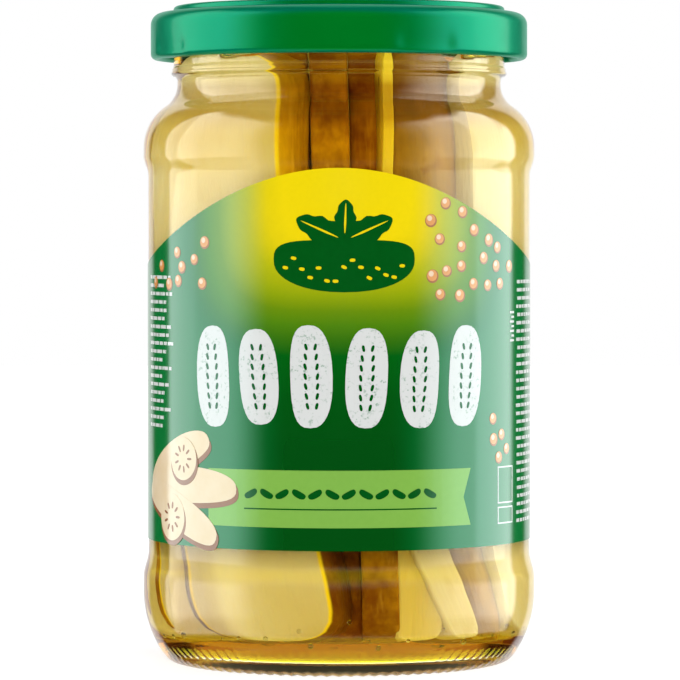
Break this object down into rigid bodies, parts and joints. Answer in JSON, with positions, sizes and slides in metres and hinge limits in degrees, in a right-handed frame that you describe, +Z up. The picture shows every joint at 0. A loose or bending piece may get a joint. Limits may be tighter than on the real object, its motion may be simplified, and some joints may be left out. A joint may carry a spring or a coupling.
{
  "type": "pickle jar",
  "caption": "Shut round glass jar of upright gherkin slices in brine, with a green twist-off metal lid and a glossy full-wrap paper label with an arched top edge.",
  "frame": {"origin": "middle of the jar's foot, on the surface it stands on", "axes": "+Z up along the jar's axis; -Y towards the label's front"},
  "size_m": [0.0726, 0.0726, 0.121],
  "materials": {
    "clear_glass": "clear, smooth",
    "green_lacquer": "glossy lacquer on tinplate",
    "printed_paper": "semi-gloss coated paper",
    "gherkin_flesh": "moist, under brine"
  },
  "bodies": {
    "root": {"glass_jar": "clear_glass", "lid": "green_lacquer", "label": "printed_paper", "gherkin_slices": "gherkin_flesh"}
  },
  "joints": []
}
